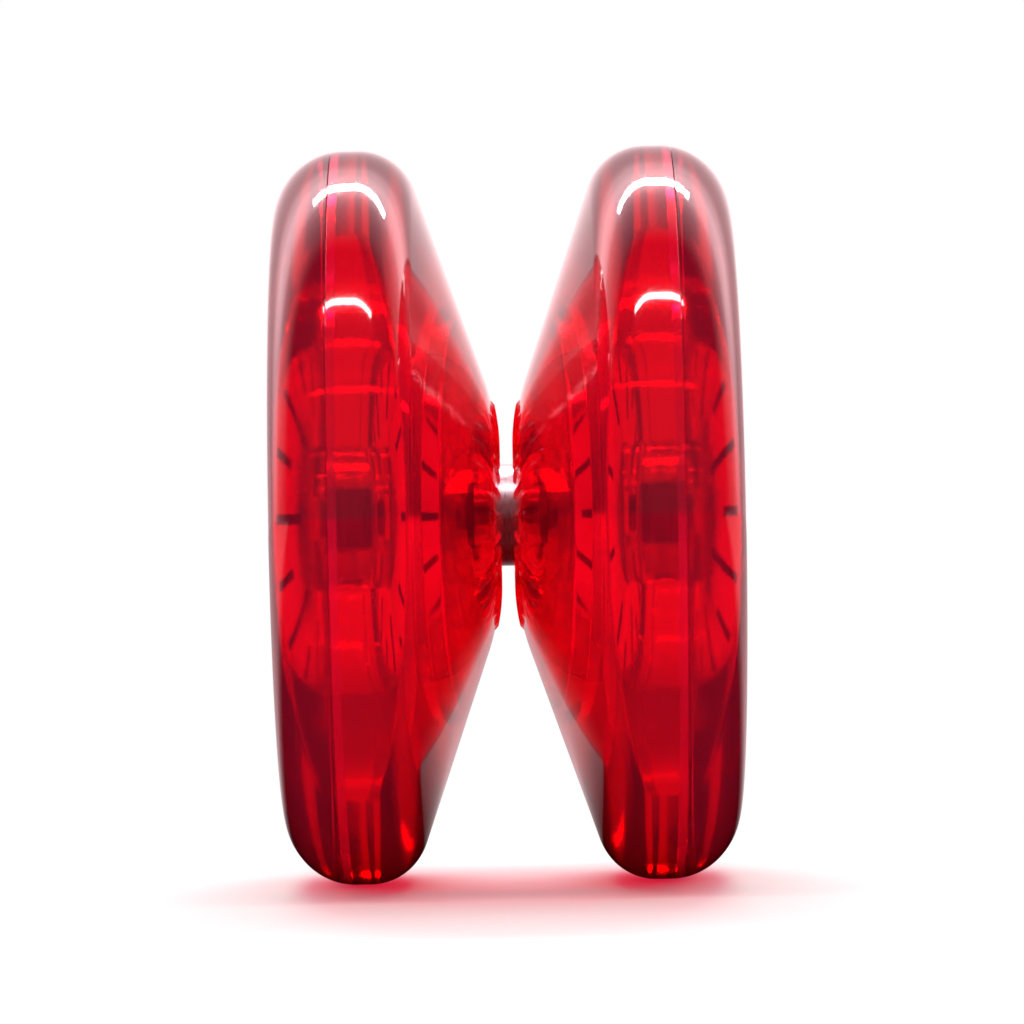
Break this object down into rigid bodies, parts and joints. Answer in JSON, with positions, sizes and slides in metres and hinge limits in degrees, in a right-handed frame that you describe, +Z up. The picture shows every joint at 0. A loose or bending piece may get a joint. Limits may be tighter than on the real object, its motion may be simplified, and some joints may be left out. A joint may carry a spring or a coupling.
{
  "type": "yo yo",
  "caption": "Clear red take-apart yo-yo with V-shaped halves, screwed together on a threaded axle around a shielded ball bearing.",
  "frame": {"origin": "middle of the string gap on the axle's line, which is the centre of the bounding box", "axes": "+X along the axle to the right half's face, +Z up as it stands on its rims, +Y away from the side seen"},
  "size_m": [0.0362, 0.0568, 0.0568],
  "materials": {
    "clear_red": "clear, polished",
    "steel": "satin",
    "dark_steel": "oiled",
    "bearing_steel": "polished",
    "brass": "satin"
  },
  "bodies": {
    "left_half": {"left_body": "clear_red", "left_cover": "clear_red", "left_nut": "steel", "left_spacer": "brass", "axle": "dark_steel", "bearing_inner_race": "bearing_steel"},
    "bearing_outer": {"bearing_outer_race": "bearing_steel", "left_shield": "steel", "left_snap_ring": "dark_steel", "right_shield": "steel", "right_snap_ring": "dark_steel"},
    "ball_cage": {"bearing_cage": "brass", "ball_1": "bearing_steel", "ball_2": "bearing_steel", "ball_3": "bearing_steel", "ball_4": "bearing_steel", "ball_5": "bearing_steel", "ball_6": "bearing_steel", "ball_7": "bearing_steel"},
    "right_seat": {"right_spacer": "brass"},
    "right_half": {"right_body": "clear_red", "right_cover": "clear_red", "right_nut": "steel"}
  },
  "joints": [
    {"name": "bearing_spin", "type": "hinge", "parent": "left_half", "child": "bearing_outer", "pos_m": [0, 0, 0], "axis": [1, 0, 0], "continuous": true},
    {"name": "cage_spin", "type": "hinge", "parent": "left_half", "child": "ball_cage", "pos_m": [0, 0, 0], "axis": [1, 0, 0], "continuous": true},
    {"name": "right_half_back_off", "type": "slide", "parent": "left_half", "child": "right_seat", "axis": [1, 0, 0], "range_m": [0, 0.00328]},
    {"name": "right_half_unscrew", "type": "hinge", "parent": "right_seat", "child": "right_half", "pos_m": [0, 0, 0], "axis": [1, 0, 0], "range_deg": [0, 1800]}
  ],
  "couplings": [
    {"joint": "cage_spin", "follows": "bearing_spin", "ratio": 0.6398},
    {"joint": "right_half_back_off", "follows": "right_half_unscrew", "m_per_rad": 0.00010106}
  ]
}
